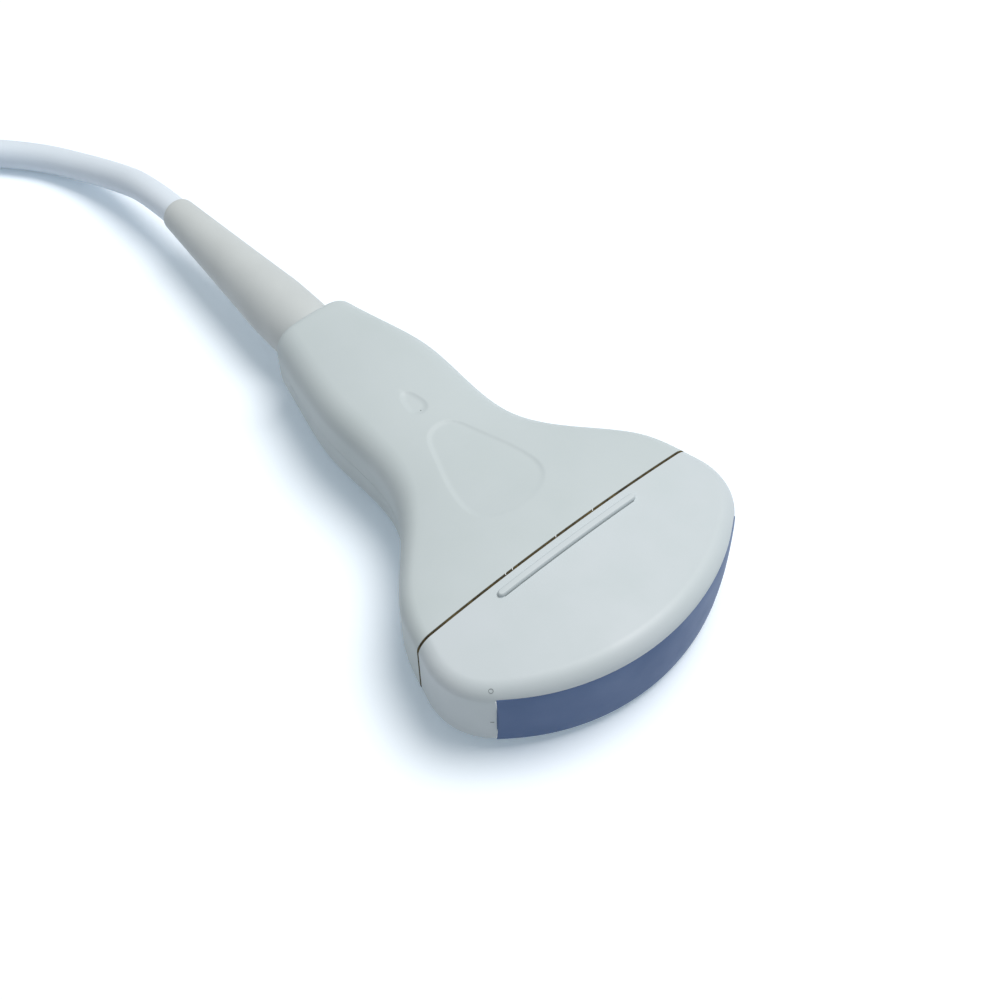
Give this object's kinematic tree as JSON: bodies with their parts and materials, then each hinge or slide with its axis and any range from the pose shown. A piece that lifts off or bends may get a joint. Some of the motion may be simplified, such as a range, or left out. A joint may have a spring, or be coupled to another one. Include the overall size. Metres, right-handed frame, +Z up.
{
  "type": "convex ultrasound probe",
  "caption": "Hand-held convex ultrasound probe with a curved acoustic lens, a waisted handle, a tapered boot and a coiled cable that ends in a multi-way plug.",
  "frame": {"origin": "on the surface that the probe lies on, under the middle of the probe and its boot", "axes": "+Y from the lens along the handle towards the cable, +Z up, +X across the head"},
  "size_m": [0.1474, 0.2531, 0.0384],
  "materials": {
    "housing": "fine satin moulded plastic",
    "gasket": "dark grimy silicone",
    "lens": "smooth blue-grey silicone",
    "boot": "soft matte rubber",
    "cable_jacket": "smooth soft jacket",
    "matching_layer": "filled epoxy",
    "foil": "thin copper foil",
    "ceramic": "sawn piezo ceramic",
    "backing": "dark loaded epoxy",
    "frame_metal": "machined aluminium",
    "board": "green board",
    "flex": "amber polyimide",
    "connector_plastic": "black moulded plastic",
    "wire": "bundled blue micro coax",
    "steel": "plain steel",
    "contact_metal": "gold plated contacts",
    "plug_plastic": "satin moulded plastic"
  },
  "bodies": {
    "root": {"nose": "housing", "upper_handle_shell": "housing", "lower_handle_shell": "housing", "seam_gasket": "gasket", "acoustic_lens": "lens", "outer_matching_layer": "matching_layer", "inner_matching_layer": "matching_layer", "ground_foil": "foil", "piezo_array": "ceramic", "backing_block": "backing", "array_frame": "frame_metal", "interconnect_board": "board", "board_screws": "steel", "upper_flex_circuit": "flex", "lower_flex_circuit": "flex", "upper_flex_connector": "connector_plastic", "lower_flex_connector": "connector_plastic", "upper_coax_connector": "connector_plastic", "lower_coax_connector": "connector_plastic", "upper_coax_ribbon": "wire", "lower_coax_ribbon": "wire", "cable_clamp": "steel", "cable_inner_end": "cable_jacket", "boot": "boot", "cord": "cable_jacket", "cord_coil": "cable_jacket", "cord_tail": "cable_jacket", "cable_outer_end": "cable_jacket", "plug_boot": "boot", "plug_upper_shell": "plug_plastic", "plug_lower_shell": "plug_plastic", "plug_shroud": "steel", "contact_block": "connector_plastic", "plug_contacts": "contact_metal", "plug_board": "board", "plug_wires": "wire", "plug_clamp": "steel", "plug_screws": "steel"}
  },
  "joints": []
}
